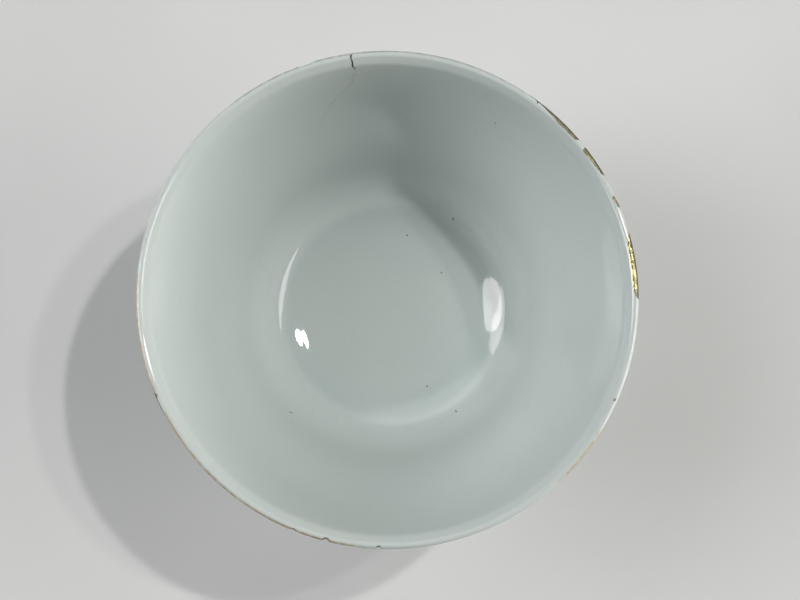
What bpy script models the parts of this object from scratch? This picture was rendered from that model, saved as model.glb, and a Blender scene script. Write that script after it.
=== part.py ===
"""A small porcelain cup whose chipped rim is mended with gold lacquer.

The cup is one thrown, turned and glazed piece that stands on a foot ring. Where its lip was
chipped, five flush fills of lacquer and gold follow the lip. A hairline crack and some bare
chips were never mended and stay open.
Metres, +Z up. The origin is the centre of the foot ring's underside.
"""

import math

import bmesh
import bpy
from mathutils import Matrix, Vector
from mathutils.geometry import interpolate_bezier

# Bowl
RIM_RADIUS = 0.041
CUP_HEIGHT = 0.046
LIP_THICKNESS = 0.0013
LIP_OVERHANG = 0.0027
LIP_BAND = 0.0030
LIP_LEAN = math.radians(40)
LIP_HANDLE = 0.0012
THROAT_LEAN = math.radians(22)
WALL_HANDLE = 0.0280
WALL_AT_FLOOR = 0.0024
WELL_HANDLE = 0.0060
FLOOR_RADIUS = 0.0165
FLOOR_DISH = 0.0003
BASE_THICKNESS = 0.0030

# Foot ring
FOOT_RADIUS = 0.0184
FOOT_WIDTH = 0.0024
FOOT_RECESS = 0.0036
FOOT_FILLET = 0.0011
FOOT_BEVEL = 0.0004
FOOT_TAPER = 0.0004

# Gold lacquer fills: name, first and last angle in degrees from +X, depth below the lip
GOLD_FILLS = (
    ("gold_fill_side_long", 0.0, 16.5, 0.0014),
    ("gold_fill_side_short", 19.3, 23.1, 0.0012),
    ("gold_fill_back_short", 29.5, 37.6, 0.0014),
    ("gold_fill_back_long", 40.0, 54.8, 0.0012),
    ("gold_fill_front_left", 202.9, 208.5, 0.0012),
)
FILL_GAP = 0.0003

# Bare chips: angle in degrees, half width along the lip, depth into the lip
BARE_CHIPS = (
    (109.5, 0.0014, 0.00035),
    (248.4, 0.0005, 0.00030),
    (256.1, 0.0007, 0.00060),
    (268.3, 0.0006, 0.00050),
)
CHIP_HALF_HEIGHT = 0.0009
CHIP_CENTRE_DROP = 0.0003
CHIP_CENTRE_OUT = 0.0004

# Hairline crack that opens a little at the lip
CRACK_ANGLE = 98.4
CRACK_WIDTH = 0.00032
CRACK_DEPTH = 0.0034
CRACK_DRIFT = 0.0006
CRACK_KINK = 0.45

# How far each cutter stands out past the lip
CUTTER_MARGIN = 0.0015

# Smoothness of the faceted solids
STEPS_AROUND = 80
WALL_POINTS = 13
BAND_POINTS = 5
CAP_POINTS = 6
FILLET_POINTS = 4
FILL_POINTS = 7
CHIP_SUBDIVISIONS = 2
MERGE_DISTANCE = 0.000001

# Colour, roughness and metallic value
PORCELAIN = ((0.62, 0.68, 0.66, 1.0), 0.12, 0.0)
GOLD = ((0.66, 0.50, 0.16, 1.0), 0.32, 1.0)

# Height of the bowl's floor at its edge
FLOOR_LEVEL = FOOT_RECESS + BASE_THICKNESS


def clear_scene():
    for old in list(bpy.data.objects):
        bpy.data.objects.remove(old)


def new_collection(name):
    collection = bpy.data.collections.new(name)
    bpy.context.scene.collection.children.link(collection)
    return collection


def new_material(name, look):
    colour, roughness, metallic = look
    material = bpy.data.materials.new(name)
    material.use_nodes = True
    shader = material.node_tree.nodes["Principled BSDF"]
    shader.inputs["Base Color"].default_value = colour
    shader.inputs["Roughness"].default_value = roughness
    shader.inputs["Metallic"].default_value = metallic
    return material


def leaning(angle):
    """Unit direction in the profile's plane, leaning outwards from upright."""
    return Vector((math.sin(angle), math.cos(angle)))


def outward_normal(direction):
    """The side of a rising wall that faces out and down."""
    return Vector((direction.y, -direction.x)).normalized()


def bezier(start, start_handle, end_handle, end, count):
    corners = [point.to_3d() for point in (start, start_handle, end_handle, end)]
    return [point.to_2d() for point in interpolate_bezier(*corners, count)]


def lip_centre():
    """Centre of the round that closes the lip's top."""
    half = LIP_THICKNESS / 2
    return Vector((RIM_RADIUS - half, CUP_HEIGHT - half))


def inner_wall():
    """The inside of the bowl from the floor's edge to the lip's inner edge."""
    edge = lip_centre() - outward_normal(leaning(LIP_LEAN)) * LIP_THICKNESS / 2
    throat = Vector((RIM_RADIUS - LIP_OVERHANG, CUP_HEIGHT - LIP_BAND))
    floor = Vector((FLOOR_RADIUS, FLOOR_LEVEL))
    wall = bezier(
        floor,
        floor + Vector((WELL_HANDLE, 0)),
        throat - leaning(THROAT_LEAN) * WALL_HANDLE,
        throat,
        WALL_POINTS,
    )
    band = bezier(
        throat,
        throat + leaning(THROAT_LEAN) * LIP_HANDLE,
        edge - leaning(LIP_LEAN) * LIP_HANDLE,
        edge,
        BAND_POINTS,
    )
    return wall + band[1:]


def lip_cap():
    """The round over the lip, from its inner edge to its outer edge, without those two points."""
    centre = lip_centre()
    first = math.pi - LIP_LEAN
    turns = [first - math.pi * i / CAP_POINTS for i in range(1, CAP_POINTS)]
    return [centre + Vector((math.cos(a), math.sin(a))) * LIP_THICKNESS / 2 for a in turns]


def outer_wall(inner):
    """The inside moved out by the wall's thickness, from the lip down and in to the middle.

    The wall thins evenly from the floor to the lip.
    """
    lengths = [0.0]
    for before, after in zip(inner, inner[1:]):
        lengths.append(lengths[-1] + (after - before).length)
    outer = []
    for i, point in enumerate(inner):
        along = inner[min(i + 1, len(inner) - 1)] - inner[max(i - 1, 0)]
        if i == len(inner) - 1:
            along = leaning(LIP_LEAN)
        share = lengths[i] / lengths[-1]
        wall = WALL_AT_FLOOR + (LIP_THICKNESS - WALL_AT_FLOOR) * share
        outer.append(point + outward_normal(along) * wall)
    middle = Vector((0, FLOOR_LEVEL - WALL_AT_FLOOR))
    return outer[::-1] + [middle]


def down_to_radius(points, radius):
    """The stretch of a line running inwards that lies outside radius, ending exactly on it."""
    kept = []
    for before, after in zip(points, points[1:]):
        kept.append(before)
        if after.x <= radius:
            share = (before.x - radius) / (before.x - after.x)
            kept.append(before.lerp(after, share))
            break
    return kept


def foot_ring(top):
    """From the bowl's underside, down the foot, across its tread and up into the recess."""
    waist = Vector((FOOT_RADIUS, top.y - FOOT_FILLET))
    tread_outer = FOOT_RADIUS - FOOT_TAPER
    tread_inner = tread_outer - FOOT_WIDTH
    recess_corner = Vector((tread_inner - FOOT_TAPER, FOOT_RECESS))
    fillet = bezier(top, Vector((FOOT_RADIUS, top.y)), waist, waist, FILLET_POINTS)
    return fillet[1:] + [
        Vector((tread_outer, FOOT_BEVEL)),
        Vector((tread_outer - FOOT_BEVEL, 0)),
        Vector((tread_inner + FOOT_BEVEL, 0)),
        Vector((tread_inner, FOOT_BEVEL)),
        recess_corner + Vector((0, -FOOT_FILLET)),
        recess_corner + Vector((-FOOT_FILLET, 0)),
        Vector((0, FOOT_RECESS)),
    ]


def cup_profile():
    """One line from the middle of the floor, over the lip, to the middle of the recess."""
    inner = inner_wall()
    outside = down_to_radius(outer_wall(inner), FOOT_RADIUS + FOOT_FILLET)
    middle = Vector((0, FLOOR_LEVEL - FLOOR_DISH))
    return [middle] + inner + lip_cap() + outside + foot_ring(outside[-1])


def turned_solid(name, profile, collection):
    mesh = bpy.data.meshes.new(name)
    points = [(point.x, 0, point.y) for point in profile]
    edges = [(i, i + 1) for i in range(len(points) - 1)]
    mesh.from_pydata(points, edges, [])
    solid = bpy.data.objects.new(name, mesh)
    collection.objects.link(solid)
    screw = solid.modifiers.new("turn", "SCREW")
    screw.steps = STEPS_AROUND
    screw.render_steps = STEPS_AROUND
    screw.use_merge_vertices = True
    screw.merge_threshold = MERGE_DISTANCE
    screw.use_smooth_shade = True
    return solid


def on_rim(angle, radius, height):
    return Vector((math.cos(angle) * radius, math.sin(angle) * radius, height))


def plate_from_outline(name, outline, thickness, place, collection):
    """A flat outline extruded to a closed mesh, standing where place puts its middle plane."""
    curve = bpy.data.curves.new(name, "CURVE")
    curve.dimensions = "2D"
    curve.fill_mode = "BOTH"
    curve.extrude = thickness / 2
    spline = curve.splines.new("POLY")
    spline.points.add(len(outline) - 1)
    for point, corner in zip(spline.points, outline):
        point.co = (corner[0], corner[1], 0, 1)
    spline.use_cyclic_u = True
    drawn = bpy.data.objects.new(name + "_outline", curve)
    collection.objects.link(drawn)
    drawn.matrix_world = place
    bpy.context.view_layer.update()
    graph = bpy.context.evaluated_depsgraph_get()
    mesh = bpy.data.meshes.new_from_object(drawn.evaluated_get(graph))
    mesh.name = name
    shape = bmesh.new()
    shape.from_mesh(mesh)
    bmesh.ops.remove_doubles(shape, verts=shape.verts, dist=MERGE_DISTANCE)
    bmesh.ops.recalc_face_normals(shape, faces=shape.faces)
    shape.to_mesh(mesh)
    shape.free()
    solid = bpy.data.objects.new(name, mesh)
    collection.objects.link(solid)
    solid.matrix_world = place
    bpy.data.objects.remove(drawn)
    bpy.data.curves.remove(curve)
    return solid


def rim_block(name, first, last, depth, inset, collection):
    """The room over a stretch of the lip, as deep as depth and smaller by inset on each side."""
    inside = RIM_RADIUS - LIP_OVERHANG - CUTTER_MARGIN
    outside = RIM_RADIUS + CUTTER_MARGIN
    start = math.radians(first) + inset / RIM_RADIUS
    end = math.radians(last) - inset / RIM_RADIUS
    turns = [start + (end - start) * i / (FILL_POINTS - 1) for i in range(FILL_POINTS)]
    outline = [on_rim(turn, outside, 0).to_2d() for turn in turns]
    outline += [on_rim(turn, inside, 0).to_2d() for turn in reversed(turns)]
    low = CUP_HEIGHT - depth + inset
    high = CUP_HEIGHT + CUTTER_MARGIN
    place = Matrix.Translation((0, 0, (low + high) / 2))
    return plate_from_outline(name, outline, high - low, place, collection)


def chip_cutter(name, degrees, half_width, depth, collection):
    """A flattened ball that bites into the lip's outer edge."""
    mesh = bpy.data.meshes.new(name)
    ball = bmesh.new()
    bmesh.ops.create_icosphere(ball, subdivisions=CHIP_SUBDIVISIONS, radius=1)
    half_axes = (depth + CHIP_CENTRE_OUT, half_width, CHIP_HALF_HEIGHT)
    bmesh.ops.scale(ball, vec=half_axes, verts=ball.verts)
    ball.to_mesh(mesh)
    ball.free()
    cutter = bpy.data.objects.new(name, mesh)
    collection.objects.link(cutter)
    angle = math.radians(degrees)
    cutter.location = on_rim(angle, RIM_RADIUS + CHIP_CENTRE_OUT, CUP_HEIGHT - CHIP_CENTRE_DROP)
    cutter.rotation_euler = (0, 0, angle)
    return cutter


def crack_cutter(name, collection):
    """A thin bent wedge through the lip, widest at the top."""
    half = CRACK_WIDTH / 2
    kink = CRACK_DEPTH * CRACK_KINK
    outline = (
        (-half, CUTTER_MARGIN),
        (half, CUTTER_MARGIN),
        (half, -kink),
        (CRACK_DRIFT, -CRACK_DEPTH),
        (-half, -kink),
    )
    angle = math.radians(CRACK_ANGLE)
    radial = on_rim(angle, 1, 0)
    up = Vector((0, 0, 1))
    axes = Matrix((radial.cross(up), up, -radial)).transposed()
    place = Matrix.Translation(on_rim(angle, RIM_RADIUS, CUP_HEIGHT)) @ axes.to_4x4()
    reach = 2 * (LIP_OVERHANG + CUTTER_MARGIN)
    return plate_from_outline(name, outline, reach, place, collection)


def add_boolean(target, operation, other):
    cut = target.modifiers.new(operation.lower(), "BOOLEAN")
    cut.operation = operation
    cut.solver = "EXACT"
    if isinstance(other, bpy.types.Collection):
        cut.operand_type = "COLLECTION"
        cut.collection = other
    else:
        cut.object = other


def hide_helper(helper):
    helper.hide_render = True
    helper.display_type = "WIRE"


def make_cutters(collection):
    for name, first, last, depth in GOLD_FILLS:
        rim_block(name + "_bed", first, last, depth, 0.0, collection)
    for i, (degrees, half_width, depth) in enumerate(BARE_CHIPS, 1):
        chip_cutter(f"chip_{i}", degrees, half_width, depth, collection)
    crack_cutter("crack", collection)
    for cutter in collection.objects:
        hide_helper(cutter)


def make_cup(collection, cutters, material):
    cup = turned_solid("cup", cup_profile(), collection)
    add_boolean(cup, "DIFFERENCE", cutters)
    cup.data.materials.append(material)
    return cup


def make_gold_fills(collection, whole_cup, material):
    """Each fill is the whole lip's own shape inside its bed, less the gap."""
    fills = []
    for name, first, last, depth in GOLD_FILLS:
        fill = rim_block(name, first, last, depth, FILL_GAP, collection)
        add_boolean(fill, "INTERSECT", whole_cup)
        fill.data.materials.append(material)
        fills.append(fill)
    return fills


def build():
    clear_scene()
    model = new_collection("kintsugi_cup")
    helpers = new_collection("whole_shapes")
    cutters = new_collection("rim_cutters")
    porcelain = new_material("glazed_porcelain", PORCELAIN)
    gold = new_material("gold_lacquer", GOLD)
    make_cutters(cutters)
    whole_cup = turned_solid("whole_cup", cup_profile(), helpers)
    hide_helper(whole_cup)
    base = bpy.data.objects.new("cup_origin", None)
    model.objects.link(base)
    for piece in [make_cup(model, cutters, porcelain)] + make_gold_fills(model, whole_cup, gold):
        piece.parent = base


build()
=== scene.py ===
"""A small footed porcelain cup with a flared lip, its chips filled with lacquer and gold.

The script follows the cup as it is made: the turned body with the damage to its lip, its glaze,
then the gold fills, and last the studio around it. Metres, +Z up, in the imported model's frame.
"""

import math

import bpy
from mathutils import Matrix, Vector, noise
from mathutils.geometry import interpolate_bezier


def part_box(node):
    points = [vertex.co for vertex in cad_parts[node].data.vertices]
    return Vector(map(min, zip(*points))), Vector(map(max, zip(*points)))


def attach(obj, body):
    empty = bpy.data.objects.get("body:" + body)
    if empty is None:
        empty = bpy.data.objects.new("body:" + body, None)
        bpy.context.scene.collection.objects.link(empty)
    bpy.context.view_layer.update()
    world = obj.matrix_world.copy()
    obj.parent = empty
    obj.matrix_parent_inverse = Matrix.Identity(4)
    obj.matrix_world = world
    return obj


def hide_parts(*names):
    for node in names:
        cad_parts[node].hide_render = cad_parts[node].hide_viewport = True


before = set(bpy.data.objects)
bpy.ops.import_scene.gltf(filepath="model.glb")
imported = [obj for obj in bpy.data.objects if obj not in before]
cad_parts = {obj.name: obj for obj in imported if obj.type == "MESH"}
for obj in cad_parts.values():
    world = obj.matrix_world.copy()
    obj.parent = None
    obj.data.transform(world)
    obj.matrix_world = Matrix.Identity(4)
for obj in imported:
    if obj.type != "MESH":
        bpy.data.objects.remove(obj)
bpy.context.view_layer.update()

# Porcelain body
# Bowl, lip and foot ring are one piece of porcelain, thrown on a wheel, turned to about 2 mm and
# glazed all over but for the tread of its foot. It left the kiln a little out of round.
MM = 0.001
_, cup_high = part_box("cup")
GOLD_STANDS_PROUD = 0.05 * MM
RIM_RADIUS = cup_high.x - GOLD_STANDS_PROUD
CUP_HEIGHT = cup_high.z - GOLD_STANDS_PROUD
LIP_THICKNESS = 1.3 * MM
LIP_LEAN = math.radians(40)
# Lean of the inside from level, in degrees, at each radius out from the middle of the floor
INSIDE_LEANS = (
    (0 * MM, 0),
    (6 * MM, 1),
    (11 * MM, 2.2),
    (14 * MM, 4),
    (16 * MM, 10),
    (17.5 * MM, 17.8),
    (18.6 * MM, 19.4),
    (20 * MM, 22),
    (21.2 * MM, 25.5),
    (22 * MM, 30),
    (23 * MM, 39.5),
    (24 * MM, 50),
    (25 * MM, 58.6),
    (26.5 * MM, 66.2),
    (29 * MM, 67.4),
    (31.5 * MM, 61),
    (33.5 * MM, 61),
    (36 * MM, 69),
    (38.2 * MM, 75),
    (38.7 * MM, 72),
    (39.1 * MM, 51),
    (39.85 * MM, 44),
)
WALL_AT_FLOOR = 2.4 * MM
WALL_AT_LIP = 1.3 * MM
FLOOR_EDGE = 18 * MM
FOOT_RADIUS = 18.4 * MM
FOOT_WIDTH = 2.4 * MM
FOOT_TAPER = 0.4 * MM
FOOT_RECESS = 3.6 * MM
FOOT_FILLET = 1.1 * MM
TREAD_ROUND = 0.5 * MM
OUT_OF_ROUND = 0.0084
LONG_AXIS = math.radians(-23.4)
WAVER = 0.035 * MM
WAVER_SIZE = 14 * MM
# The unevenness starts this far below the crest, and grows over this length
EVEN_LIP = 4 * MM
UNEVEN_FADE = 6 * MM
# Rings left by throwing: radius inside the bowl, height of the ring, its half width
THROWING_RINGS = (
    (5.2 * MM, 0.010 * MM, 0.8 * MM),
    (16.6 * MM, 0.040 * MM, 0.8 * MM),
    (20.4 * MM, 0.030 * MM, 0.7 * MM),
    (24.6 * MM, 0.060 * MM, 1.0 * MM),
    (28.5 * MM, 0.040 * MM, 1.6 * MM),
)
TURNS_AROUND = 700
INSIDE_ROWS = 62
CAP_ROWS = 22
OUTSIDE_ROWS = 26
CORNER_ROWS = 5
FINE_STEPS = 900
ROW_TURN = math.radians(60)

# Damage to the lip. Angles are degrees from +X, and a place across the lip is measured from its
# crest, inwards below zero and outwards above.
CRACK_ANGLE = 98.4
# Degrees to either side of the crack that it can reach, and how ragged and stained it is;
# waves are to the metre, and the stain is in half widths of the crack
CRACK_SWING = 2
CRACK_RAGGEDNESS = 0.5
CRACK_WAVES = 2500
STAIN_START = 0.4
STAIN_SPREAD = 1.1
# Open part of the crack: place across the lip, angle, half width, depth
CRACK_PATH = (
    (-3.3 * MM, 97.6, 0.05 * MM, 0.00 * MM),
    (-2.8 * MM, 97.9, 0.11 * MM, 0.12 * MM),
    (-2.0 * MM, 98.45, 0.15 * MM, 0.26 * MM),
    (-1.2 * MM, 98.35, 0.14 * MM, 0.32 * MM),
    (-0.5 * MM, 98.55, 0.12 * MM, 0.34 * MM),
    (0.3 * MM, 98.45, 0.16 * MM, 0.36 * MM),
    (1.2 * MM, 98.45, 0.12 * MM, 0.30 * MM),
    (3.4 * MM, 98.6, 0.03 * MM, 0.00 * MM),
)
# Bare chips: angle, place across the lip, half length, half breadth, depth
CHIPS = (
    (109.4, 1.0 * MM, 1.5 * MM, 0.75 * MM, 0.20 * MM),
    (112.6, 1.1 * MM, 1.1 * MM, 0.55 * MM, 0.10 * MM),
    (248.4, 0.8 * MM, 0.45 * MM, 0.6 * MM, 0.22 * MM),
    (256.1, 0.8 * MM, 0.60 * MM, 0.9 * MM, 0.50 * MM),
    (268.3, 0.8 * MM, 0.50 * MM, 0.8 * MM, 0.42 * MM),
    (335.3, 0.1 * MM, 0.30 * MM, 0.25 * MM, 0.06 * MM),
)
CHIP_RAGGEDNESS = 0.35
CHIP_WAVES = 1700
CHIP_REACH = 4
CHIP_FLATNESS = 2.6
CHIP_EDGE = 5
# Worn stretches of the outer edge: first and last angle, depth
WORN_EDGES = ((226.0, 264.0, 0.12 * MM), (176.0, 208.0, 0.03 * MM), (24.5, 29.0, 0.04 * MM))
WORN_PLACE = 0.80 * MM
WORN_BREADTH = 0.55 * MM
WORN_GRAIN = 0.55 * MM
WORN_FINER_GRAIN = 2.3
WORN_CONTRAST = 2.4
WORN_THRESHOLD = 0.15
WORN_BARENESS = 0.8
WORN_FADE = 2.0
# Worn gilding, and painted shade, along the outer edge: first and last angle, strength. The shade is
# painted as a dark line on the lip's outer side, which turns away from the light.
GILT_TRACES = (
    (-46.5, -33.5, 0.85),
    (13.0, 20.0, 0.50),
    (23.0, 30.0, 0.30),
    (176.0, 203.0, 1.00),
    (208.0, 231.0, 1.00),
    (231.0, 262.0, 0.85),
)
# Lines of painted shade along the lip's outer edge
PAINTED_SHADE_TRACES = ((56.0, 128.0, 0.38), (264.0, 275.0, 0.12))
TRACE_PLACE = 0.72 * MM
TRACE_BREADTH = 0.66 * MM
TRACE_FADE = 1.5
TRACE_PATCH = 0.9 * MM
TRACE_GRAIN = 0.35 * MM
TRACE_COVER = 0.75
TRACE_TURN_START = 20
# How far from the crest damage and traces are looked for
DAMAGE_REACH = 5 * MM
TRACE_REACH = 2 * MM
# Where the lip is modelled more finely: middle angle, half width in degrees, how many times finer
FINE_STRETCHES = (
    (98.3, 1.6, 14.0),
    (110.5, 4.5, 3.0),
    (248.4, 1.2, 5.0),
    (256.1, 1.4, 5.0),
    (268.3, 1.2, 5.0),
    (335.3, 0.8, 4.0),
    (245.0, 17.0, 1.6),
)
FINE_STEP = 0.02


def leaning(angle):
    return Vector((math.sin(angle), math.cos(angle)))


def left_of(direction):
    return Vector((-direction.y, direction.x)).normalized()


def inside_lean(radius):
    """The lean at a radius, on a smooth curve through the leans given."""
    knots = INSIDE_LEANS
    low = max(i for i in range(len(knots) - 1) if knots[i][0] <= max(radius, 0))
    rates = []
    for i in (low, low + 1):
        before, after = knots[max(i - 1, 0)], knots[min(i + 1, len(knots) - 1)]
        rates.append((after[1] - before[1]) / (after[0] - before[0]))
    span = knots[low + 1][0] - knots[low][0]
    t = (radius - knots[low][0]) / span
    ease = t * t * (3 - 2 * t)
    lean = knots[low][1] * (1 - ease) + knots[low + 1][1] * ease
    lean += span * (rates[0] * t * (1 - t) ** 2 - rates[1] * t * t * (1 - t))
    return math.radians(lean)


def lip_middle():
    return Vector((RIM_RADIUS - LIP_THICKNESS / 2, CUP_HEIGHT - LIP_THICKNESS / 2))


def inside_line():
    """The inside in fine steps, from the middle of the floor to the lip's inner edge."""
    edge = lip_middle() + left_of(leaning(LIP_LEAN)) * LIP_THICKNESS / 2
    step = edge.x / FINE_STEPS
    line = [edge]
    for i in range(FINE_STEPS):
        drop = math.tan(inside_lean(line[-1].x - step / 2)) * step
        line.append(line[-1] - Vector((step, drop)))
    line[-1].x = 0
    return line[::-1]


def spread(line, rows):
    """The line in fewer points, closer together where it turns."""
    weights = [0.0]
    for i in range(1, len(line)):
        piece = line[i] - line[i - 1]
        after = line[min(i + 1, len(line) - 1)] - line[min(i, len(line) - 2)]
        turn = piece.angle(after, 0.0)
        weights.append(weights[-1] + piece.length / RIM_RADIUS + turn / ROW_TURN)
    points = []
    for point, weight in zip(line, weights):
        if weight >= weights[-1] * len(points) / (rows - 1) - 1e-9:
            points.append(point)
    return points


def lip_round():
    first = math.pi - LIP_LEAN
    turns = [first - math.pi * i / CAP_ROWS for i in range(1, CAP_ROWS)]
    return [lip_middle() + Vector((math.cos(a), math.sin(a))) * LIP_THICKNESS / 2 for a in turns]


def outside_line(inside):
    """The inside moved out by the wall's thickness, from the lip down to the foot."""
    outer = []
    for i, point in enumerate(inside):
        along = inside[min(i + 1, len(inside) - 1)] - inside[max(i - 1, 0)]
        share = smooth((point.x - FLOOR_EDGE) / (RIM_RADIUS - FLOOR_EDGE))
        outer.append(point - left_of(along) * (WALL_AT_FLOOR + (WALL_AT_LIP - WALL_AT_FLOOR) * share))
    return [point for point in reversed(outer) if point.x > FOOT_RADIUS + FOOT_FILLET]


def eased(corners):
    """A line through the corners, each rounded over the length given with it."""
    line = []
    for (before, _), (corner, ease), (after, _) in zip(corners, corners[1:], corners[2:]):
        start = corner + (before - corner).normalized() * ease
        end = corner + (after - corner).normalized() * ease
        bend = [point.to_3d() for point in (start, corner, corner, end)]
        line += [point.to_2d() for point in interpolate_bezier(*bend, CORNER_ROWS)]
    return line


def foot_line(top):
    """From the bowl's underside down the foot, over its tread and up into the recess."""
    tread_out = FOOT_RADIUS - FOOT_TAPER
    tread_in = tread_out - FOOT_WIDTH
    return eased((
        (top, 0),
        (Vector((FOOT_RADIUS, top.y)), FOOT_FILLET),
        (Vector((tread_out, 0)), TREAD_ROUND),
        (Vector((tread_in, 0)), TREAD_ROUND),
        (Vector((tread_in - FOOT_TAPER, FOOT_RECESS)), FOOT_FILLET),
        (Vector((0, FOOT_RECESS)), 0),
    ))


def with_places(line):
    """Each point of the line with its outward side and its place across the lip."""
    crest = max(range(len(line)), key=lambda i: line[i].y)
    lengths = [0.0]
    for before, after in zip(line, line[1:]):
        lengths.append(lengths[-1] + (after - before).length)
    section = []
    for i, point in enumerate(line):
        along = line[min(i + 1, len(line) - 1)] - line[max(i - 1, 0)]
        section.append((point, left_of(along), lengths[i] - lengths[crest]))
    return section


def between(value, first, last, soft):
    """1 between first and last, fading to 0 over soft beyond them."""
    outside = max(first - value, value - last, 0.0)
    return max(0.0, 1.0 - outside / soft)


def smooth(value):
    value = min(max(value, 0.0), 1.0)
    return value * value * (3 - 2 * value)


def turned(angle, first):
    """The angle in degrees, brought within a full turn from first."""
    return (angle - first) % 360 + first


def warped(angle, point, side, lift):
    """The place in space of a point of the section, lifted off the surface."""
    x = point.x + side.x * lift
    z = point.y + side.y * lift
    turn = math.radians(angle)
    share = (0.5 - 0.5 * math.cos(2 * (turn - LONG_AXIS))) * (z / CUP_HEIGHT) ** 2
    x *= 1 - OUT_OF_ROUND * share
    return Vector((x * math.cos(turn), x * math.sin(turn), z))


def turn_angles():
    """Angles around the cup, closer together where the lip has fine damage."""
    steps = []
    angle = 0.0
    while angle < 360:
        density = 1.0
        for middle, half, finer in FINE_STRETCHES:
            inside = smooth(between(angle, middle - half, middle + half, half))
            density = max(density, 1 + (finer - 1) * inside)
        steps.append((angle, density * FINE_STEP))
        angle += FINE_STEP
    share = sum(step for _, step in steps) / TURNS_AROUND
    angles = []
    passed = 0.0
    for angle, step in steps:
        if passed >= len(angles) * share and len(angles) < TURNS_AROUND:
            angles.append(angle)
        passed += step
    return angles


def crack_at(place):
    """Angle, half width and depth of the open crack at a place across the lip."""
    for low, high in zip(CRACK_PATH, CRACK_PATH[1:]):
        if low[0] <= place <= high[0]:
            share = (place - low[0]) / (high[0] - low[0])
            return [a + (b - a) * share for a, b in zip(low[1:], high[1:])]
    return CRACK_ANGLE, 0.0, 0.0


def damage(angle, place, spot):
    """How deep the lip is cut away there, and how far the cut is crack and bare body."""
    depth = 0.0
    stain_and_shade = 0.0
    bare = 0.0
    middle, half, deep = crack_at(place)
    if half and abs(angle - middle) < CRACK_SWING:
        off = abs(math.radians(angle - middle)) * RIM_RADIUS
        ragged = half * (1 + CRACK_RAGGEDNESS * noise.noise(spot * CRACK_WAVES))
        stain_and_shade = 1 - smooth((off - ragged * STAIN_START) / (ragged * STAIN_SPREAD))
        depth = deep * (1 - smooth(off / ragged))
    for middle, across, length, breadth, deep in CHIPS:
        if abs(angle - middle) > CHIP_REACH or abs(place - across) > 2 * breadth:
            continue
        x = math.radians(angle - middle) * RIM_RADIUS / length
        y = (place - across) / breadth
        waves = noise.noise(spot * CHIP_WAVES + Vector((middle, 0, 0)))
        ragged = 1 + CHIP_RAGGEDNESS * waves
        reach = math.hypot(x, y) / ragged
        if reach < 1:
            depth = max(depth, deep * (1 - reach ** CHIP_FLATNESS))
            bare = max(bare, smooth((1 - reach) * CHIP_EDGE))
    for first, last, deep in WORN_EDGES:
        along = between(angle, first, last, WORN_FADE)
        across = 1 - smooth(abs(place - WORN_PLACE) / WORN_BREADTH)
        if along and across:
            finer = noise.noise(spot * WORN_FINER_GRAIN / WORN_GRAIN)
            grain = noise.noise(spot / WORN_GRAIN) + 0.5 * finer
            worn = smooth(grain * WORN_CONTRAST - WORN_THRESHOLD) * along * across
            depth = max(depth, deep * worn)
            bare = max(bare, worn * WORN_BARENESS)
    return depth, stain_and_shade, bare


def traces(stretches, angle, place, spot):
    """How strongly the listed traces, worn gilding in one list and painted shade in the other, mark the
    outer edge there.
    """
    across = 1 - smooth((abs(place - TRACE_PLACE) - TRACE_BREADTH / 2) / (TRACE_BREADTH / 2))
    if not across:
        return 0.0
    strength = 0.0
    for first, last, most in stretches:
        near = turned(angle, first - TRACE_TURN_START)
        strength = max(strength, most * between(near, first, last, TRACE_FADE))
    grain = noise.noise(spot / TRACE_PATCH) * 0.9 + noise.noise(spot / TRACE_GRAIN) * 0.5
    return strength * across * min(max(TRACE_COVER + grain, 0.0), 1.0)


def thrown(point, spot):
    """The soft unevenness of the wheel-thrown wall, on a floor trued flat."""
    lift = WAVER * noise.noise(spot / WAVER_SIZE) * smooth(point.x / FLOOR_EDGE) ** 2
    for radius, height, half in THROWING_RINGS:
        lift += height * math.exp(-(((point.x - radius) / half) ** 2))
    return lift


def surface(name, corners, faces, masks):
    """A smooth mesh with its masks kept as named values on its corners."""
    mesh = bpy.data.meshes.new(name)
    mesh.from_pydata(corners, [], faces)
    for mask, values in masks.items():
        mesh.attributes.new(mask, "FLOAT", "POINT").data.foreach_set("value", values)
    mesh.shade_smooth()
    piece = bpy.data.objects.new(name, mesh)
    bpy.context.scene.collection.objects.link(piece)
    return piece


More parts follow.
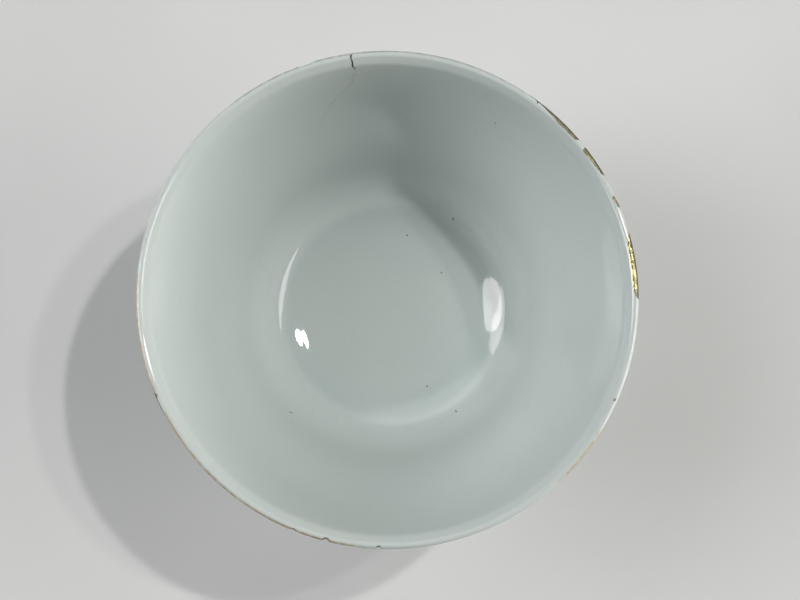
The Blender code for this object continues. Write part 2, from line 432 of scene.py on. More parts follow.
def porcelain_body():
    fine = inside_line()
    inside = spread(fine, INSIDE_ROWS)
    outside = spread(outside_line(fine), OUTSIDE_ROWS)
    section = with_places(inside + lip_round() + outside + foot_line(outside[-1]))
    inside_rows = len(inside)
    floor_point, floor_side, _ = section[0]
    rows = section[1:]
    angles = turn_angles()
    corners = [warped(0, floor_point, floor_side, thrown(floor_point, Vector((0, 0, 0))))]
    masks = {"stain_and_shade": [0.0], "bare": [0.0], "gilt": [0.0]}
    for angle in angles:
        for row, (point, side, place) in enumerate(rows):
            spot = warped(angle, point, side, 0)
            depth = stain_and_shade = bare = gilt = 0.0
            if abs(place) < DAMAGE_REACH:
                depth, stain_and_shade, bare = damage(angle, place, spot)
            if abs(place) < TRACE_REACH:
                # Painted shade along the lip's outer edge, kept in the same mask as the crack's real
                # stain
                stain_and_shade = max(stain_and_shade, traces(PAINTED_SHADE_TRACES, angle, place, spot))
                gilt = traces(GILT_TRACES, angle, place, spot)
            uneven = thrown(point, spot) if row < inside_rows and place < -EVEN_LIP else 0
            fade = smooth((-place - EVEN_LIP) / UNEVEN_FADE)
            corners.append(warped(angle, point, side, uneven * fade - depth))
            masks["stain_and_shade"].append(stain_and_shade)
            masks["bare"].append(bare)
            masks["gilt"].append(gilt)
    corners.append((0, 0, FOOT_RECESS))
    for values in masks.values():
        values.append(0.0)
    last = len(corners) - 1
    count = len(rows)
    faces = []
    for i in range(len(angles)):
        here = 1 + i * count
        there = 1 + (i + 1) % len(angles) * count
        faces.append((0, here, there))
        for row in range(count - 1):
            faces.append((here + row, here + row + 1, there + row + 1, there + row))
        faces.append((here + count - 1, last, there + count - 1))
    return surface("porcelain_cup", corners, faces, masks)


# The cup's glaze is clear and faintly green over white porcelain. It runs thin over the lip,
# which shows whiter, and pools a little in the well. Iron in it left some dark specks.
GLAZE_COLOUR = (0.580, 0.628, 0.603, 1)
POOLED_COLOUR = (0.540, 0.612, 0.597, 1)
THIN_COLOUR = (0.606, 0.642, 0.622, 1)
# Lighter colour of the ring of painted light over the bend of the well
PAINTED_LIGHT_BEND_COLOUR = (0.640, 0.690, 0.670, 1)
BISCUIT_COLOUR = (0.600, 0.540, 0.450, 1)
BARE_COLOUR = (0.230, 0.180, 0.130, 1)
# Dark of the crack's stain, also used for the painted shade along the outer edge
STAIN_AND_SHADE_COLOUR = (0.040, 0.036, 0.028, 1)
SPECK_COLOUR = (0.100, 0.095, 0.080, 1)
GILT_COLOUR = (0.440, 0.340, 0.170, 1)
GLAZE_ROUGHNESS = 0.035
GLAZE_CLOUD_ROUGHNESS = 0.02
GLAZE_IOR = 1.52
BARE_ROUGHNESS = 0.55
STAIN_AND_SHADE_ROUGHNESS = 0.6
GILT_ROUGHNESS = 0.3
BISCUIT_ROUGHNESS = 0.75
# Where the glaze clouds and pools, where a ring of painted light lies over the bend of the well, and
# where the glaze runs thin below the rim
GLAZE_CLOUD_SIZE = 16 * MM
GLAZE_CLOUD_SHARE = 0.35
POOL_HEIGHTS = (7 * MM, 15 * MM)
POOL_RADII = (13 * MM, 20 * MM)
POOL_SHARE = 0.65
BOWL_FLOOR = 6 * MM
PAINTED_LIGHT_BEND_RISE = (19.8 * MM, 21.6 * MM)
PAINTED_LIGHT_BEND_FALL = (24.5 * MM, 28.0 * MM)
PAINTED_LIGHT_BEND_STRENGTH = 0.8
THIN_START = 1.0 * MM
THIN_END = 0.1 * MM
THIN_STRENGTH = 0.2
# Specks and marks in the glaze, the bare tread, and the relief of glaze and bare body
SPECK_SIZE = 0.9 * MM
SPECK_START = 0.93
SPECK_STRENGTH = 0.05
MARK_STRENGTH = 0.75
UNGLAZED_HEIGHTS = (0.45 * MM, 0.75 * MM)
GLAZE_PEEL_SIZE = 3.5 * MM
BARE_GRAIN_SIZE = 0.25 * MM
GLAZE_BUMP = 0.004 * MM
BARE_GRAIN_HEIGHT = 8.0
HAIRLINE_DEPTH = -1.5
# The part of a noise's range that a mottle uses
NOISE_RANGE = (0.3, 0.7)
# Hairline below the open crack: height, angle
HAIRLINE = (
    (42.6 * MM, 98.3),
    (41.7 * MM, 98.6),
    (38.5 * MM, 100.9),
    (35.8 * MM, 105.2),
    (32.3 * MM, 109.4),
    (28.9 * MM, 114.6),
    (24.5 * MM, 121.0),
)
HAIRLINE_WIDTH = 0.42 * MM
HAIRLINE_STRENGTH = 0.12
HAIRLINE_SHAKE = 0.35
HAIRLINE_SHAKE_SIZE = 2.2 * MM
HAIRLINE_TOP_FADE = 1.2 * MM
HAIRLINE_TAIL_FADE = 15 * MM
HAIRLINE_TAIL = 0.05
# Dark marks in the glaze: angle, radius, height, half length, half width, tilt
MARKS = (
    (226.6, 26.75 * MM, 16.7 * MM, 0.62 * MM, 0.16 * MM, 120),
    (323.6, 30.38 * MM, 25.8 * MM, 0.70 * MM, 0.19 * MM, 40),
    (78.5, 15.4 * MM, 6.8 * MM, 0.24 * MM, 0.20 * MM, 0),
    (38.2, 12.5 * MM, 6.6 * MM, 0.26 * MM, 0.20 * MM, 0),
    (56.2, 21.7 * MM, 9.0 * MM, 0.30 * MM, 0.20 * MM, 30),
    (302.8, 23.0 * MM, 9.9 * MM, 0.26 * MM, 0.22 * MM, 0),
    (295.6, 16.1 * MM, 6.9 * MM, 0.26 * MM, 0.20 * MM, 0),
    (306.0, 29.7 * MM, 24.3 * MM, 0.22 * MM, 0.18 * MM, 0),
    (21.9, 33.3 * MM, 31.3 * MM, 0.26 * MM, 0.20 * MM, 0),
    (58.9, 35.8 * MM, 36.3 * MM, 0.24 * MM, 0.20 * MM, 0),
)
MARK_REACH = 1.2 * MM
MARK_CORE = 0.4
MARK_EDGE = 1.2


def add_node(tree, kind, **settings):
    node = tree.nodes.new("ShaderNode" + kind)
    for name, value in settings.items():
        setattr(node, name, value)
    return node


def feed(tree, target, *sources):
    """Sets a node's inputs in order, each from a socket or a plain value; None leaves it."""
    for socket, source in zip(target.inputs, sources):
        if isinstance(source, bpy.types.NodeSocket):
            tree.links.new(source, socket)
        elif source is not None:
            socket.default_value = source
    return target.outputs[0]


def maths(tree, operation, *sources):
    return feed(tree, add_node(tree, "Math", operation=operation), *sources)


def blend_colours(tree, mask, under, over):
    mix = add_node(tree, "Mix", data_type="RGBA")
    for name, source in (("Factor_Float", mask), ("A_Color", under), ("B_Color", over)):
        socket = next(s for s in mix.inputs if s.identifier == name)
        if isinstance(source, bpy.types.NodeSocket):
            tree.links.new(source, socket)
        else:
            socket.default_value = source
    return next(s for s in mix.outputs if s.identifier == "Result_Color")


def ranged(tree, value, low, high, to_low=0.0, to_high=1.0):
    """The value from low to high, eased and brought to the new range."""
    node = add_node(tree, "MapRange", interpolation_type="SMOOTHSTEP")
    return feed(tree, node, value, low, high, to_low, to_high)


def new_group(name, inputs, outputs):
    """An empty shader group. Inputs are names with their usual values, outputs names and kinds."""
    tree = bpy.data.node_groups.new(name, "ShaderNodeTree")
    for socket, value in inputs.items():
        made = tree.interface.new_socket(socket, in_out="INPUT", socket_type="NodeSocketFloat")
        made.default_value = value
    for socket, kind in outputs.items():
        tree.interface.new_socket(socket, in_out="OUTPUT", socket_type="NodeSocket" + kind)
    return tree, (tree.nodes.new("NodeGroupInput"), tree.nodes.new("NodeGroupOutput"))


def place_group(tree, group, **values):
    node = add_node(tree, "Group", node_tree=group)
    for name, value in values.items():
        socket = node.inputs[name.replace("_", " ")]
        if isinstance(value, bpy.types.NodeSocket):
            tree.links.new(value, socket)
        else:
            socket.default_value = value
    return node


def around_cup_group():
    """Where a point of the surface stands around the cup."""
    names = ("Angle", "Radius", "Height")
    tree, (_, out) = new_group("around_the_cup", {}, {name: "Float" for name in names})
    parts = add_node(tree, "SeparateXYZ")
    feed(tree, parts, add_node(tree, "TexCoord").outputs["Object"])
    x, y, z = parts.outputs
    turn = maths(tree, "DEGREES", maths(tree, "ARCTAN2", y, x))
    tree.links.new(turn, out.inputs["Angle"])
    wide = maths(tree, "SQRT", maths(tree, "ADD", maths(tree, "MULTIPLY", x, x),
                                     maths(tree, "MULTIPLY", y, y)))
    tree.links.new(wide, out.inputs["Radius"])
    tree.links.new(z, out.inputs["Height"])
    return tree


def mottle_group():
    """A soft uneven value over the surface, for clouding, grain and wear."""
    tree, (given, out) = new_group(
        "mottle", {"Size": 0.01, "Detail": 3.0, "Low": 0.0, "High": 1.0}, {"Value": "Float"}
    )
    place = add_node(tree, "TexCoord").outputs["Object"]
    cloud = add_node(tree, "TexNoise")
    tree.links.new(place, cloud.inputs["Vector"])
    tree.links.new(maths(tree, "DIVIDE", 1.0, given.outputs["Size"]), cloud.inputs["Scale"])
    tree.links.new(given.outputs["Detail"], cloud.inputs["Detail"])
    low, high = given.outputs["Low"], given.outputs["High"]
    value = ranged(tree, cloud.outputs["Fac"], *NOISE_RANGE, low, high)
    tree.links.new(value, out.inputs["Value"])
    return tree


def hairline_group(around, mottle):
    """The fine crack that runs down the wall from the lip."""
    tree, (given, out) = new_group("hairline", {"Width": HAIRLINE_WIDTH}, {"Mask": "Float"})
    where = place_group(tree, around)
    angle = where.outputs["Angle"]
    height = where.outputs["Height"]
    top, bottom = HAIRLINE[0], HAIRLINE[-1]
    curve = add_node(tree, "FloatCurve")
    share = maths(tree, "DIVIDE", maths(tree, "SUBTRACT", height, bottom[0]), top[0] - bottom[0])
    tree.links.new(share, curve.inputs["Value"])
    points = curve.mapping.curves[0].points
    swing = bottom[1] - top[1]
    for i, (level, turn) in enumerate(reversed(HAIRLINE)):
        at = ((level - bottom[0]) / (top[0] - bottom[0]), (turn - top[1]) / swing)
        if 0 < i < len(HAIRLINE) - 1:
            points.new(*at)
        else:
            points[min(i, 1)].location = at
    curve.mapping.update()
    line = maths(tree, "MULTIPLY_ADD", curve.outputs["Value"], swing, top[1])
    shaken = place_group(tree, mottle, Size=HAIRLINE_SHAKE_SIZE, Low=-HAIRLINE_SHAKE,
                         High=HAIRLINE_SHAKE)
    shake = shaken.outputs["Value"]
    off = maths(tree, "ABSOLUTE", maths(tree, "ADD", maths(tree, "SUBTRACT", angle, line), shake))
    off = maths(tree, "MULTIPLY", maths(tree, "RADIANS", off), where.outputs["Radius"])
    mask = ranged(tree, off, 0.0, given.outputs["Width"], 1.0, 0.0)
    upper = ranged(tree, height, top[0], top[0] + HAIRLINE_TOP_FADE, 1.0, 0.0)
    tail_end = bottom[0] + HAIRLINE_TAIL_FADE
    lower = ranged(tree, height, bottom[0], tail_end, HAIRLINE_TAIL, 1.0)
    mask = maths(tree, "MULTIPLY", maths(tree, "MULTIPLY", mask, upper), lower)
    tree.links.new(mask, out.inputs["Mask"])
    return tree


def marks_group():
    """The specks and short scratches that show dark in the glaze."""
    tree, (_, out) = new_group("glaze_marks", {}, {"Mask": "Float"})
    place = add_node(tree, "TexCoord").outputs["Object"]
    total = None
    for angle, radius, height, length, width, tilt in MARKS:
        turn = math.radians(angle)
        local = add_node(tree, "Mapping", vector_type="TEXTURE")
        middle = (radius * math.cos(turn), radius * math.sin(turn), height)
        feed(tree, local, place, middle, (0, 0, turn + math.radians(tilt)), (length, width, MARK_REACH))
        size = add_node(tree, "VectorMath", operation="LENGTH")
        tree.links.new(local.outputs[0], size.inputs[0])
        mark = ranged(tree, size.outputs["Value"], MARK_CORE, MARK_EDGE, 1.0, 0.0)
        total = mark if total is None else maths(tree, "MAXIMUM", total, mark)
    tree.links.new(total, out.inputs["Mask"])
    return tree


def painted(tree, name):
    return add_node(tree, "Attribute", attribute_name=name).outputs["Fac"]


def new_material(name):
    material = bpy.data.materials.new(name)
    material.use_nodes = True
    tree = material.node_tree
    return material, tree, tree.nodes["Principled BSDF"]


def glaze_material(around, mottle, hairline, marks):
    material, tree, shader = new_material("porcelain_glaze")
    where = place_group(tree, around)
    height = where.outputs["Height"]
    radius = where.outputs["Radius"]
    cloud = place_group(tree, mottle, Size=GLAZE_CLOUD_SIZE, Detail=2.0).outputs["Value"]
    near_floor = ranged(tree, height, *POOL_HEIGHTS, 1.0, 0.0)
    in_bowl = ranged(tree, height, FOOT_RECESS, BOWL_FLOOR)
    off_floor = ranged(tree, radius, *POOL_RADII)
    pooled = maths(tree, "MULTIPLY", maths(tree, "MULTIPLY", near_floor, off_floor), in_bowl)
    pooled = maths(tree, "MULTIPLY_ADD", cloud, GLAZE_CLOUD_SHARE,
                   maths(tree, "MULTIPLY", pooled, POOL_SHARE))
    colour = blend_colours(tree, pooled, GLAZE_COLOUR, POOLED_COLOUR)
    # Painted light: a lighter ring over the bend of the well, standing in for the light that falls
    # brighter there
    bend = maths(tree, "MULTIPLY", ranged(tree, radius, *PAINTED_LIGHT_BEND_RISE),
                 ranged(tree, radius, *PAINTED_LIGHT_BEND_FALL, 1.0, 0.0))
    bend = maths(tree, "MULTIPLY", maths(tree, "MULTIPLY", bend, in_bowl), PAINTED_LIGHT_BEND_STRENGTH)
    colour = blend_colours(tree, bend, colour, PAINTED_LIGHT_BEND_COLOUR)
    thin = ranged(tree, height, CUP_HEIGHT - THIN_START, CUP_HEIGHT - THIN_END)
    thin = maths(tree, "MULTIPLY", thin, THIN_STRENGTH)
    colour = blend_colours(tree, thin, colour, THIN_COLOUR)
    specks = place_group(tree, mottle, Size=SPECK_SIZE, Detail=4.0).outputs["Value"]
    fine = ranged(tree, specks, SPECK_START, 1.0, 0.0, SPECK_STRENGTH)
    colour = blend_colours(tree, fine, colour, SPECK_COLOUR)
    mark = maths(tree, "MULTIPLY", place_group(tree, marks).outputs["Mask"], MARK_STRENGTH)
    colour = blend_colours(tree, mark, colour, SPECK_COLOUR)
    crack = place_group(tree, hairline).outputs["Mask"]
    crack_shade = maths(tree, "MULTIPLY", crack, HAIRLINE_STRENGTH)
    colour = blend_colours(tree, crack_shade, colour, SPECK_COLOUR)
    gilt = painted(tree, "gilt")
    colour = blend_colours(tree, gilt, colour, GILT_COLOUR)
    bare = painted(tree, "bare")
    colour = blend_colours(tree, bare, colour, BARE_COLOUR)
    # The crack's stain and the painted shade along the outer edge share this mask and colour
    stain_and_shade = painted(tree, "stain_and_shade")
    colour = blend_colours(tree, stain_and_shade, colour, STAIN_AND_SHADE_COLOUR)
    unglazed = ranged(tree, height, *UNGLAZED_HEIGHTS, 1.0, 0.0)
    colour = blend_colours(tree, unglazed, colour, BISCUIT_COLOUR)
    tree.links.new(colour, shader.inputs["Base Color"])
    rough = maths(tree, "MULTIPLY_ADD", cloud, GLAZE_CLOUD_ROUGHNESS, GLAZE_ROUGHNESS)
    rougher = ((bare, BARE_ROUGHNESS), (stain_and_shade, STAIN_AND_SHADE_ROUGHNESS), (gilt, GILT_ROUGHNESS),
               (unglazed, BISCUIT_ROUGHNESS))
    for mask, most in rougher:
        rough = maths(tree, "MAXIMUM", rough, maths(tree, "MULTIPLY", mask, most))
    tree.links.new(rough, shader.inputs["Roughness"])
    peel = place_group(tree, mottle, Size=GLAZE_PEEL_SIZE, Detail=2.0).outputs["Value"]
    grain = place_group(tree, mottle, Size=BARE_GRAIN_SIZE, Detail=3.0).outputs["Value"]
    rough_body = maths(tree, "MAXIMUM", unglazed, bare)
    grain = maths(tree, "MULTIPLY", grain, rough_body)
    height_map = maths(tree, "MULTIPLY_ADD", grain, BARE_GRAIN_HEIGHT,
                       maths(tree, "MULTIPLY_ADD", crack, HAIRLINE_DEPTH, peel))
    bump = add_node(tree, "Bump")
    bump.inputs["Strength"].default_value = 1.0
    bump.inputs["Distance"].default_value = GLAZE_BUMP
    tree.links.new(height_map, bump.inputs["Height"])
    tree.links.new(bump.outputs["Normal"], shader.inputs["Normal"])
    shader.inputs["IOR"].default_value = GLAZE_IOR
    return material


around_cup = around_cup_group()
mottle = mottle_group()
hairline = hairline_group(around_cup, mottle)
cup = porcelain_body()
cup.data.materials.append(glaze_material(around_cup, mottle, hairline, marks_group()))
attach(cup, "root")
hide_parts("cup")


# Gold fills
# Lacquer built up in the chips of the lip and dusted with gold powder. It stands a hair proud
# of the glaze, in beads where the brush ran thick, and is worn to brown at its ends. Its outward
# slope carries painted shade, dark for the darker surroundings that it mirrors.
GOLD_COLOUR = (0.540, 0.465, 0.235, 1)
DEEP_GOLD_COLOUR = (0.260, 0.225, 0.100, 1)
LACQUER_COLOUR = (0.235, 0.208, 0.125, 1)
PAINTED_SHADE_EDGE_COLOUR = (0.060, 0.054, 0.032, 1)
GOLD_ROUGHNESS = 0.20
PATCH_ROUGHNESS = 0.12
GOLD_BUMP = 0.025 * MM
GOLD_PATCH_SIZE = 0.8 * MM
GOLD_GRAIN_SIZE = 0.12 * MM
DEEP_GRAIN_SHARE = 0.4
DEEP_START = 0.35
BUMP_GRAIN_SHARE = 0.5
WEAR_CONTRAST = 1.5
WEAR_GRAIN_SHARE = 0.3
WEAR_RANGE = (-0.25, 0.35)
WORN_METALLIC = 0.25
GOLD_UNDERSIDE = 0.22 * MM
GOLD_EDGE = 0.02 * MM
PAINTED_SHADE_EDGE_START = 0.22 * MM
PAINTED_SHADE_EDGE_END = 0.64 * MM
BEAD_SIZE = 0.42 * MM
BEAD_SWELL = 0.28
CROWN_FLATNESS = 4
NARROWEST_FILL = 0.1 * MM
END_STATIONS = 3
# Waver of a fill's edges: how far, and how quickly along the lip
EDGE_WAVER = 0.07 * MM
EDGE_TURN = 0.9
INNER_WAVES = 3.1
INNER_RIPPLES = 7.7
OUTER_WAVES = 4.3
OUTER_WAVES_START = Vector((9, 0, 0))
STATION_STEP = 0.07 * MM
# The fine steps of the inside where the lip's section starts, and of the outside it takes in
LIP_START = 800
LIP_STEPS = 100
ACROSS_TOP = 16
ACROSS_UNDER = 4
# Each fill: the node it stands for, then stations of angle, inner and outer place across the lip
# and how far the gold is worn away there
GOLD_FILLS = {
    "gold_fill_side_long": (
        (-1.0, 0.45 * MM, 0.95 * MM, 0.90),
        (0.2, -0.08 * MM, 1.10 * MM, 0.60),
        (1.4, -0.32 * MM, 1.15 * MM, 0.35),
        (4.0, -0.40 * MM, 1.20 * MM, 0.15),
        (8.0, -0.38 * MM, 1.20 * MM, 0.05),
        (11.0, -0.30 * MM, 1.15 * MM, 0.10),
        (12.8, -0.14 * MM, 1.10 * MM, 0.25),
        (13.8, 0.25 * MM, 1.05 * MM, 0.60),
        (14.6, 0.60 * MM, 1.00 * MM, 0.90),
    ),
    "gold_fill_side_short": (
        (20.6, 0.40 * MM, 0.80 * MM, 0.90),
        (21.2, 0.12 * MM, 0.76 * MM, 0.75),
        (22.2, 0.00 * MM, 0.66 * MM, 0.65),
        (23.2, -0.10 * MM, 0.52 * MM, 0.75),
        (23.8, 0.10 * MM, 0.55 * MM, 0.95),
    ),
    "gold_fill_back_short": (
        (28.8, 0.60 * MM, 1.05 * MM, 0.90),
        (29.6, 0.15 * MM, 1.10 * MM, 0.45),
        (31.0, 0.02 * MM, 1.15 * MM, 0.40),
        (32.4, -0.06 * MM, 1.15 * MM, 0.55),
        (33.8, -0.12 * MM, 1.15 * MM, 0.45),
        (35.2, -0.24 * MM, 1.15 * MM, 0.50),
        (36.4, -0.24 * MM, 1.12 * MM, 0.55),
        (36.9, 0.30 * MM, 1.05 * MM, 0.90),
    ),
    "gold_fill_back_long": (
        (38.9, 0.55 * MM, 1.05 * MM, 0.95),
        (39.6, -0.05 * MM, 1.15 * MM, 0.75),
        (41.0, -0.16 * MM, 1.15 * MM, 0.85),
        (43.0, -0.12 * MM, 1.15 * MM, 0.90),
        (45.0, -0.20 * MM, 1.15 * MM, 0.85),
        (46.6, 0.00 * MM, 1.15 * MM, 0.90),
        (48.2, 0.06 * MM, 1.15 * MM, 0.92),
        (50.4, 0.34 * MM, 1.15 * MM, 0.95),
        (51.6, 0.46 * MM, 1.15 * MM, 1.00),
        (52.0, 0.00 * MM, 1.12 * MM, 1.00),
        (52.4, 0.50 * MM, 1.10 * MM, 1.00),
        (53.6, 0.62 * MM, 1.10 * MM, 1.00),
        (55.2, 0.80 * MM, 1.05 * MM, 1.00),
    ),
    "gold_fill_front_left": (
        (202.7, 0.70 * MM, 0.95 * MM, 0.90),
        (203.3, 0.15 * MM, 1.15 * MM, 0.20),
        (204.2, 0.50 * MM, 1.15 * MM, 0.55),
        (206.3, 0.55 * MM, 1.15 * MM, 0.70),
        (208.6, 0.80 * MM, 1.05 * MM, 0.95),
    ),
}


def station_at(stations, angle):
    for low, high in zip(stations, stations[1:]):
        if low[0] <= angle <= high[0]:
            share = smooth((angle - low[0]) / (high[0] - low[0]))
            return [a + (b - a) * share for a, b in zip(low[1:], high[1:])]
    return stations[-1][1:]


def on_section(section, place):
    """The point of the lip at a place across it, and its outward side."""
    for (low, low_side, start), (high, high_side, end) in zip(section, section[1:]):
        if start <= place <= end:
            share = (place - start) / (end - start)
            return low.lerp(high, share), low_side.lerp(high_side, share).normalized()
    return section[-1][:2]


def gold_fill(name, stations, section):
    """A closed crust that follows the lip between the fill's inner and outer edge."""
    first, last = stations[0][0], stations[-1][0]
    count = int(math.radians(last - first) * RIM_RADIUS / STATION_STEP)
    corners = []
    worn_values = []
    painted_shade_values = []
    loop = ACROSS_TOP + ACROSS_UNDER
    for i in range(count + 1):
        angle = first + (last - first) * i / count
        inner, outer, worn = station_at(stations, angle)
        turn = Vector((angle * EDGE_TURN, 0, 0))
        ripples = noise.noise(turn * INNER_RIPPLES)
        inner += EDGE_WAVER * (noise.noise(turn * INNER_WAVES) + 0.6 * ripples)
        outer += EDGE_WAVER * noise.noise(turn * OUTER_WAVES + OUTER_WAVES_START)
        inner = min(inner, outer - NARROWEST_FILL)
        tall = min(1.0, min(i, count - i) / END_STATIONS)
        for j in range(ACROSS_TOP):
            share = j / (ACROSS_TOP - 1)
            place = inner + (outer - inner) * share
            point, side = on_section(section, place)
            crown = 1 - abs(2 * share - 1) ** CROWN_FLATNESS
            bead = noise.noise(warped(angle, point, side, 0) / BEAD_SIZE)
            proud = GOLD_STANDS_PROUD * (1 - BEAD_SWELL + BEAD_SWELL * bead)
            lift = (proud + GOLD_EDGE) * crown * tall - GOLD_EDGE
            corners.append(warped(angle, point, side, min(lift, GOLD_STANDS_PROUD)))
            worn_values.append(worn)
            # Painted shade: the gold darkens towards its outward slope, for the darker surroundings
            # that it mirrors there
            painted_shade = smooth((place - PAINTED_SHADE_EDGE_START) / (PAINTED_SHADE_EDGE_END - PAINTED_SHADE_EDGE_START))
            painted_shade_values.append(painted_shade)
        for j in range(ACROSS_UNDER):
            share = (j + 1) / (ACROSS_UNDER + 1)
            point, side = on_section(section, outer + (inner - outer) * share)
            deep = -GOLD_EDGE - (GOLD_UNDERSIDE - GOLD_EDGE) * tall * (1 - abs(2 * share - 1) ** 2)
            corners.append(warped(angle, point, side, deep))
            worn_values.append(worn)
            painted_shade_values.append(1 - share)
    faces = []
    for i in range(count):
        for j in range(loop):
            after = (j + 1) % loop
            faces.append((i * loop + j, (i + 1) * loop + j, (i + 1) * loop + after, i * loop + after))
    faces.append(tuple(range(loop)))
    faces.append(tuple(count * loop + j for j in reversed(range(loop))))
    return surface(name, corners, faces, {"worn": worn_values, "edge": painted_shade_values})


def gold_material(mottle):
    material, tree, shader = new_material("gold_lacquer")
    worn = painted(tree, "worn")
    patches = place_group(tree, mottle, Size=GOLD_PATCH_SIZE, Detail=4.0).outputs["Value"]
    grains = place_group(tree, mottle, Size=GOLD_GRAIN_SIZE, Detail=2.0).outputs["Value"]
    deep = maths(tree, "MULTIPLY_ADD", grains, DEEP_GRAIN_SHARE, patches)
    deep = ranged(tree, deep, DEEP_START, 1.0)
    colour = blend_colours(tree, deep, DEEP_GOLD_COLOUR, GOLD_COLOUR)
    rubbed = maths(tree, "SUBTRACT", maths(tree, "MULTIPLY", worn, WEAR_CONTRAST),
                   maths(tree, "MULTIPLY_ADD", grains, WEAR_GRAIN_SHARE, patches))
    rubbed = ranged(tree, rubbed, *WEAR_RANGE)
    colour = blend_colours(tree, rubbed, colour, LACQUER_COLOUR)
    # Painted shade on the gold's outward slope and underside, kept in the "edge" mask
    colour = blend_colours(tree, painted(tree, "edge"), colour, PAINTED_SHADE_EDGE_COLOUR)
    tree.links.new(colour, shader.inputs["Base Color"])
    metallic = maths(tree, "MULTIPLY_ADD", rubbed, WORN_METALLIC - 1, 1.0)
    tree.links.new(metallic, shader.inputs["Metallic"])
    rough = maths(tree, "MULTIPLY_ADD", patches, PATCH_ROUGHNESS, GOLD_ROUGHNESS)
    tree.links.new(rough, shader.inputs["Roughness"])
    bump = add_node(tree, "Bump")
    bump.inputs["Strength"].default_value = 1.0
    bump.inputs["Distance"].default_value = GOLD_BUMP
    height_map = maths(tree, "MULTIPLY_ADD", grains, BUMP_GRAIN_SHARE, patches)
    tree.links.new(height_map, bump.inputs["Height"])
    tree.links.new(bump.outputs["Normal"], shader.inputs["Normal"])
    return material


gold = gold_material(mottle)
whole_inside = inside_line()
lip = with_places(whole_inside[LIP_START:] + lip_round() + outside_line(whole_inside)[:LIP_STEPS])
for node, stations in GOLD_FILLS.items():
    fill = gold_fill(node.replace("gold_fill", "gold"), stations, lip)
    fill.data.materials.append(gold)
    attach(fill, "root")
    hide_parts(node)


# Studio
# A plain pale table, a camera that looks down into the bowl, and soft lights from both sides.
TABLE_SIZE = 6.0
TABLE_COLOUR = (0.66, 0.66, 0.65, 1)
TABLE_ROUGHNESS = 0.6
TABLE_CLOUD_SIZE = 60 * MM
TABLE_CLOUD_SHADE = 0.96
CAMERA_PLACE = (0.00473, -0.01535, 0.2327)
CAMERA_TIP = math.radians(4.476)
CAMERA_SWING = math.radians(0.774)
CAMERA_LENS = 52.02
CAMERA_SENSOR = 36
NEAREST_SEEN = 0.01
BOWL_MIDDLE = Vector((0, 0, 30 * MM))
WARM_WHITE = (1.0, 0.99, 0.97)
COOL_WHITE = (0.96, 0.98, 1.0)
PINK_WHITE = (1.0, 0.95, 0.96)
# Soft lights: name, azimuth, elevation, width, height, power, colour
SOFT_LIGHTS = (
    ("lamp_low", 24.5, 54.4, 0.03, 0.03, 1.10, WARM_WHITE),
    ("lamp_high", 35, 58.8, 0.03, 0.03, 3.10, WARM_WHITE),
    ("right_low", -9, 8, 1.1, 0.30, 6.20, WARM_WHITE),
    ("right_mid", -4, 30, 0.7, 0.36, 2.60, WARM_WHITE),
    ("left_mid", 176, 30, 0.5, 0.36, 3.95, COOL_WHITE),
    ("left_low", 180, 12, 0.5, 0.30, 0.75, COOL_WHITE),
    ("left_high", 180, 54, 0.5, 0.36, 0.50, COOL_WHITE),
    ("back_high", 155, 50, 0.5, 0.36, 1.60, COOL_WHITE),
    ("overhead", 180, 70, 0.5, 0.36, 0.35, COOL_WHITE),
)
# Bright panes that the glaze and the gold mirror: name, azimuth, elevation, width, height,
# tilt in its own plane, brightness, colour
PANES = (
    ("mirrored_lamp_low", 23.0, 55.6, 0.100, 0.100, 0, 60, COOL_WHITE),
    ("mirrored_lamp_high", 26.0, 61.2, 0.095, 0.100, 0, 60, COOL_WHITE),
    ("mirrored_glint", 31.5, 59.6, 0.030, 0.020, 0, 40, COOL_WHITE),
    ("mirrored_window_top", 178, 50, 0.35, 0.28, -14, 7.2, PINK_WHITE),
    ("mirrored_window_foot", 171, 41.0, 0.50, 0.24, -18, 4.8, PINK_WHITE),
    ("mirrored_strip", -8, 43.5, 0.62, 0.18, 0, 5, COOL_WHITE),
    ("mirrored_lip_right", -8, 24, 0.70, 0.20, 0, 14, COOL_WHITE),
    ("mirrored_lip_left", 186, 22, 0.70, 0.20, 0, 14, PINK_WHITE),
    ("mirrored_sky_wide", 112, 44, 1.20, 0.50, 0, 0.60, COOL_WHITE),
    ("mirrored_sky_mid", 112, 43, 1.00, 0.40, 0, 0.60, COOL_WHITE),
    ("mirrored_sky_small", 112, 42, 0.80, 0.30, 0, 0.60, COOL_WHITE),
)
LIGHT_DISTANCE = 1.0
WORLD_COLOUR = (0.80, 0.83, 0.83, 1)
WORLD_STRENGTH = 0.005


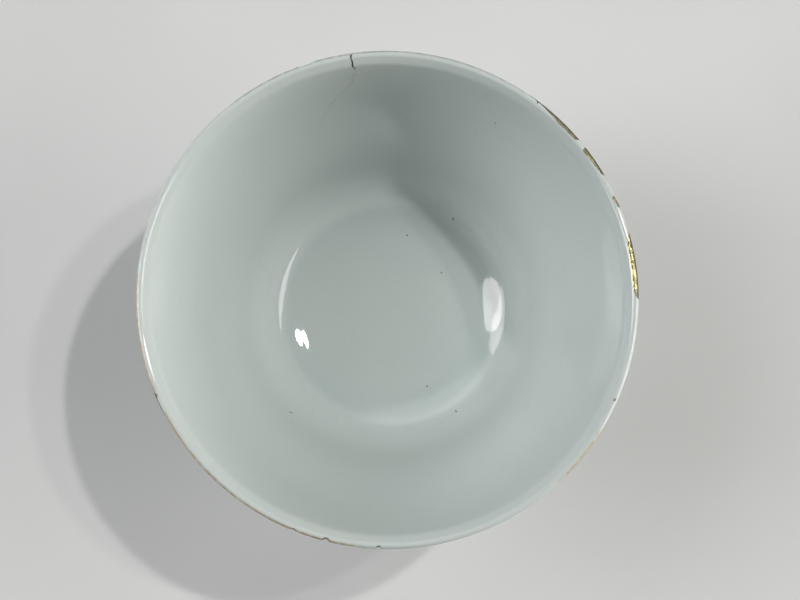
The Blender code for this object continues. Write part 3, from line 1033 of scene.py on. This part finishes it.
def table_top(mottle):
    half = TABLE_SIZE / 2
    corners = [(-half, -half, 0), (half, -half, 0), (half, half, 0), (-half, half, 0)]
    table = surface("table_top", corners, [(0, 1, 2, 3)], {})
    material, tree, shader = new_material("pale_table")
    cloud = place_group(tree, mottle, Size=TABLE_CLOUD_SIZE, Detail=2.0).outputs["Value"]
    darker = tuple(channel * TABLE_CLOUD_SHADE for channel in TABLE_COLOUR[:3]) + (1,)
    tree.links.new(blend_colours(tree, cloud, darker, TABLE_COLOUR), shader.inputs["Base Color"])
    shader.inputs["Roughness"].default_value = TABLE_ROUGHNESS
    table.data.materials.append(material)
    return table


def hung_light(name, azimuth, elevation, width, height, tilt):
    """A flat light turned to the bowl, as an object and its lamp."""
    turn, rise = math.radians(azimuth), math.radians(elevation)
    towards = Vector((math.cos(turn) * math.cos(rise), math.sin(turn) * math.cos(rise),
                      math.sin(rise)))
    light = bpy.data.lights.new(name, "AREA")
    light.size = width
    light.size_y = height
    lamp = bpy.data.objects.new(name, light)
    lamp.location = BOWL_MIDDLE + towards * LIGHT_DISTANCE
    lamp.rotation_euler = towards.to_track_quat("Z", "Y").to_euler()
    lamp.rotation_euler.rotate_axis("Z", math.radians(tilt))
    bpy.context.scene.collection.objects.link(lamp)
    return lamp, light


table_top(mottle)
for name, azimuth, elevation, width, height, power, colour in SOFT_LIGHTS:
    lamp, light = hung_light(name, azimuth, elevation, width, height, 0)
    light.shape = "RECTANGLE"
    light.energy = power
    light.color = colour
    lamp.visible_glossy = False
for name, azimuth, elevation, width, height, tilt, brightness, colour in PANES:
    lamp, light = hung_light(name, azimuth, elevation, width, height, tilt)
    light.shape = "ELLIPSE"
    light.energy = brightness * math.pi * math.pi / 4 * width * height
    light.color = colour
    lamp.visible_diffuse = False

world = bpy.data.worlds.new("studio")
world.use_nodes = True
world.node_tree.nodes["Background"].inputs["Color"].default_value = WORLD_COLOUR
world.node_tree.nodes["Background"].inputs["Strength"].default_value = WORLD_STRENGTH
bpy.context.scene.world = world
bpy.context.scene.view_settings.view_transform = "Standard"

camera = bpy.data.objects.new("camera", bpy.data.cameras.new("camera"))
camera.data.sensor_width = CAMERA_SENSOR
camera.data.lens = CAMERA_LENS
camera.data.clip_start = NEAREST_SEEN
camera.location = CAMERA_PLACE
camera.rotation_euler = (CAMERA_TIP, CAMERA_SWING, 0)
bpy.context.scene.collection.objects.link(camera)
bpy.context.scene.camera = camera
